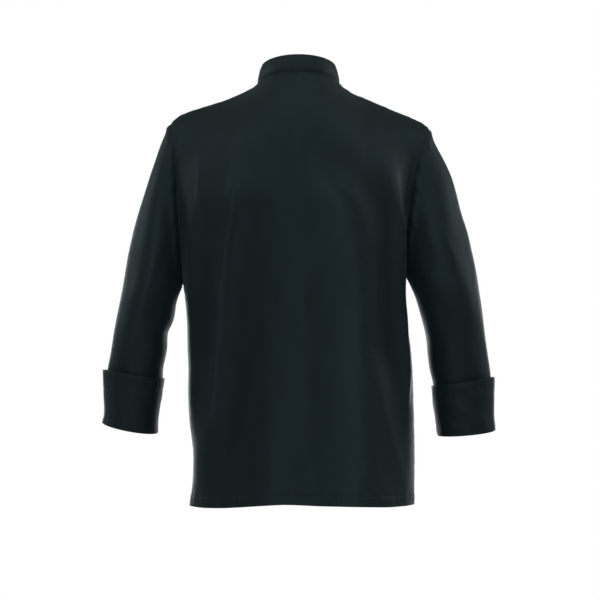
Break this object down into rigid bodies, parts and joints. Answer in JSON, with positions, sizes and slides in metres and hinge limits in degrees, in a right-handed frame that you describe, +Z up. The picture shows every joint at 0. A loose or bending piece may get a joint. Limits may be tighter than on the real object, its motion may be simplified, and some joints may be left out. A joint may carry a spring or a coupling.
{
  "type": "chef jacket",
  "caption": "Long-sleeved double-breasted chef jacket with a stand collar and turned-back cuffs, hollow and filled out as if worn.",
  "frame": {"origin": "middle of the neck's base, between the shoulders that carry the jacket", "axes": "+Z up; the jacket's front faces -Y and its back +Y; +X is the wearer's left"},
  "size_m": [0.7045, 0.2766, 0.797],
  "materials": {
    "jacket_twill": "smooth very dark teal-black polyester-cotton twill with a slight sheen",
    "button_plastic": "black moulded buttons with a soft sheen"
  },
  "bodies": {
    "root": {"back": "jacket_twill", "front_left": "jacket_twill", "front_right": "jacket_twill", "sleeve_left": "jacket_twill", "sleeve_right": "jacket_twill", "collar": "jacket_twill", "cuff_left": "jacket_twill", "cuff_right": "jacket_twill", "button_left_1": "button_plastic", "button_left_2": "button_plastic", "button_left_3": "button_plastic", "button_left_4": "button_plastic", "button_left_5": "button_plastic", "button_right_1": "button_plastic", "button_right_2": "button_plastic", "button_right_3": "button_plastic", "button_right_4": "button_plastic", "button_right_5": "button_plastic"}
  },
  "joints": []
}
